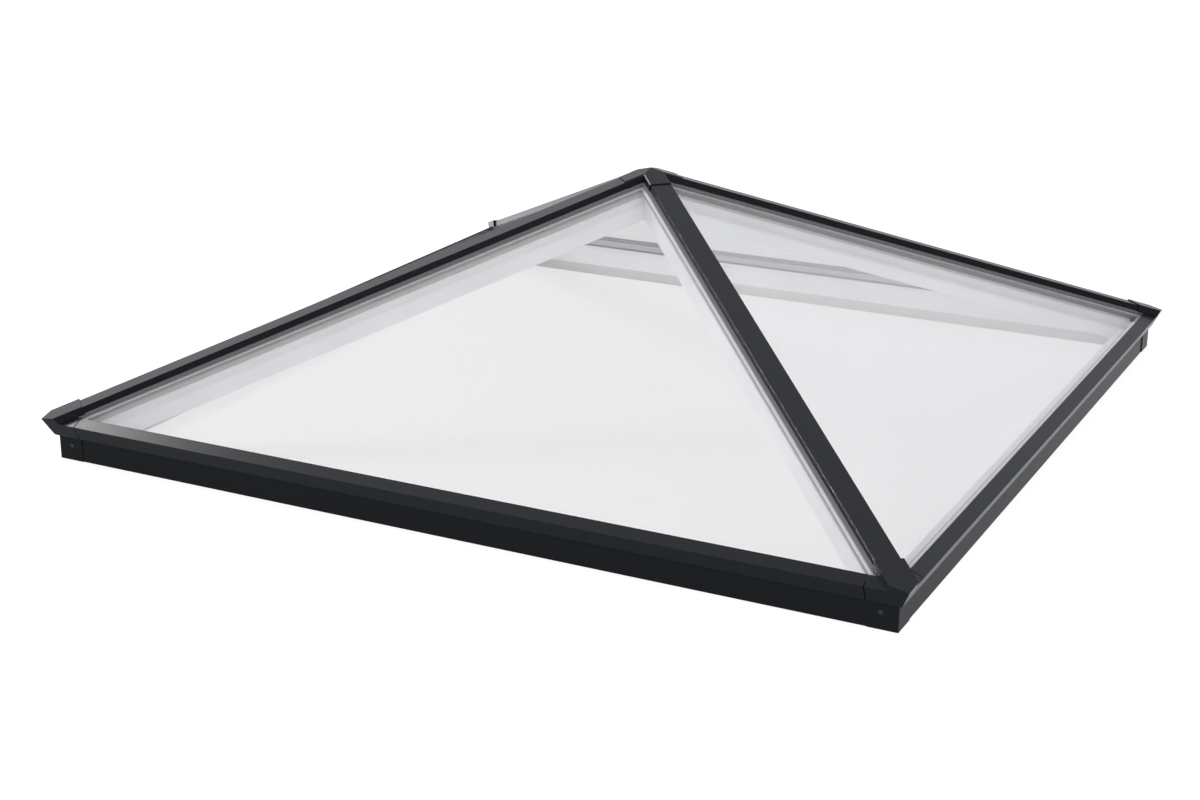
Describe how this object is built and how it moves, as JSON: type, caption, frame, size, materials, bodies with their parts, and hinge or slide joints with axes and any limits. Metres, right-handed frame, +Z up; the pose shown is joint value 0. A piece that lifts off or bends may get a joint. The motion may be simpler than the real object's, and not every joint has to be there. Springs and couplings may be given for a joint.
{
  "type": "roof lantern",
  "caption": "Square pyramid roof lantern: sloping double-glazed panes on hip bars and a mitred ring beam, grey capped outside, white inside, to sit on a flat-roof kerb.",
  "frame": {"origin": "middle of the underside, on the kerb's top face", "axes": "+Z up, -Y towards the front side, +X towards the right side"},
  "size_m": [2.06, 2.06, 0.5799],
  "materials": {
    "grey_powder_coat": "satin",
    "white_powder_coat": "satin",
    "clear_glass": "polished",
    "spacer_bar": "matte",
    "black_rubber": "matte"
  },
  "bodies": {
    "root": {"ring_beam_front": "grey_powder_coat", "ring_lining_front": "white_powder_coat", "eaves_cap_front": "grey_powder_coat", "glass_unit_front": "clear_glass", "spacer_front": "spacer_bar", "gasket_front": "black_rubber", "ring_beam_right": "grey_powder_coat", "ring_lining_right": "white_powder_coat", "eaves_cap_right": "grey_powder_coat", "glass_unit_right": "clear_glass", "spacer_right": "spacer_bar", "gasket_right": "black_rubber", "ring_beam_back": "grey_powder_coat", "ring_lining_back": "white_powder_coat", "eaves_cap_back": "grey_powder_coat", "glass_unit_back": "clear_glass", "spacer_back": "spacer_bar", "gasket_back": "black_rubber", "ring_beam_left": "grey_powder_coat", "ring_lining_left": "white_powder_coat", "eaves_cap_left": "grey_powder_coat", "glass_unit_left": "clear_glass", "spacer_left": "spacer_bar", "gasket_left": "black_rubber", "corner_cover_front_left": "grey_powder_coat", "hip_bar_front_left": "white_powder_coat", "hip_cap_front_left": "grey_powder_coat", "corner_cap_front_left": "grey_powder_coat", "corner_cover_front_right": "grey_powder_coat", "hip_bar_front_right": "white_powder_coat", "hip_cap_front_right": "grey_powder_coat", "corner_cap_front_right": "grey_powder_coat", "corner_cover_back_right": "grey_powder_coat", "hip_bar_back_right": "white_powder_coat", "hip_cap_back_right": "grey_powder_coat", "corner_cap_back_right": "grey_powder_coat", "corner_cover_back_left": "grey_powder_coat", "hip_bar_back_left": "white_powder_coat", "hip_cap_back_left": "grey_powder_coat", "corner_cap_back_left": "grey_powder_coat", "apex_cap": "grey_powder_coat", "apex_hub": "white_powder_coat"}
  },
  "joints": []
}
